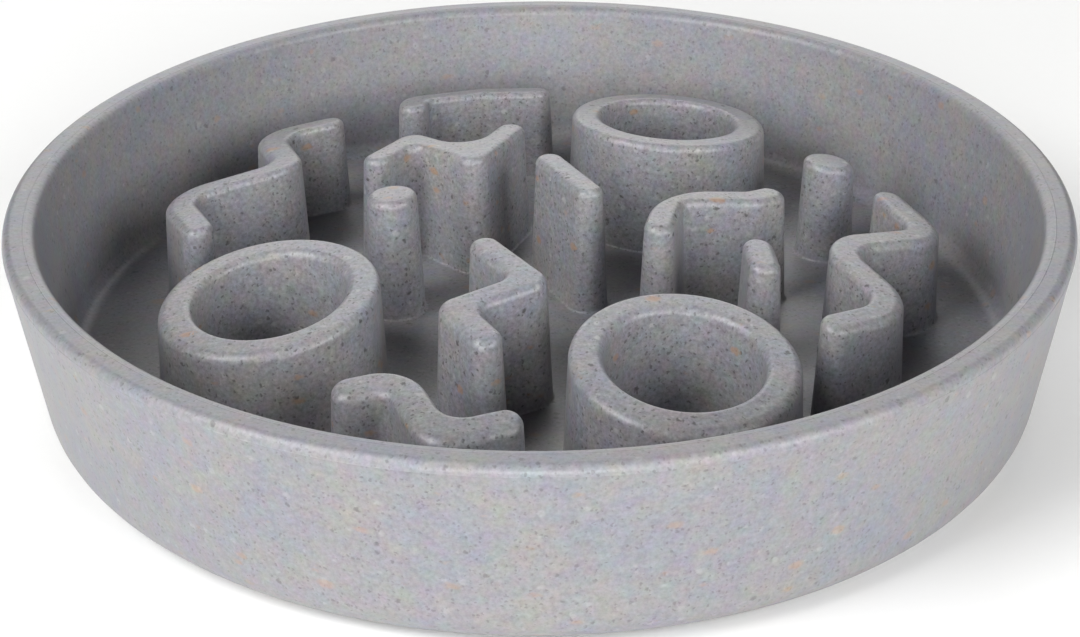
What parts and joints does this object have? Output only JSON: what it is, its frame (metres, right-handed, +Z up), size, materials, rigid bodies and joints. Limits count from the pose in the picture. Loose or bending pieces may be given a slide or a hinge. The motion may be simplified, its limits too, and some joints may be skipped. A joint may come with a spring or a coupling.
{
  "type": "slow feeder bowl",
  "caption": "Round, low pet bowl in speckled grey fibre composite whose flat floor carries rings, pegs and zigzag walls that slow down eating.",
  "frame": {"origin": "on the table, under the middle of the round bowl", "axes": "+Z up out of the bowl, +X to the right of the picture, +Y away from its viewer"},
  "size_m": [0.28, 0.28, 0.054],
  "materials": {
    "speckled_composite": "satin-matte moulded plant-fibre composite, light grey with fine dark specks and a few tan husk flecks",
    "foot_rubber": "matte dark grey rubber"
  },
  "bodies": {
    "root": {"dish": "speckled_composite", "ring_left": "speckled_composite", "ring_front": "speckled_composite", "ring_back": "speckled_composite", "peg_left": "speckled_composite", "peg_right": "speckled_composite", "wall_rear": "speckled_composite", "wall_back_zigzag": "speckled_composite", "wall_left_zigzag": "speckled_composite", "wall_centre_bar": "speckled_composite", "wall_centre_zigzag": "speckled_composite", "wall_right_hook": "speckled_composite", "wall_short_bar": "speckled_composite", "wall_right_zigzag": "speckled_composite", "wall_front_wave": "speckled_composite", "foot_1": "foot_rubber", "foot_2": "foot_rubber", "foot_3": "foot_rubber", "foot_4": "foot_rubber", "foot_5": "foot_rubber", "foot_6": "foot_rubber"}
  },
  "joints": []
}
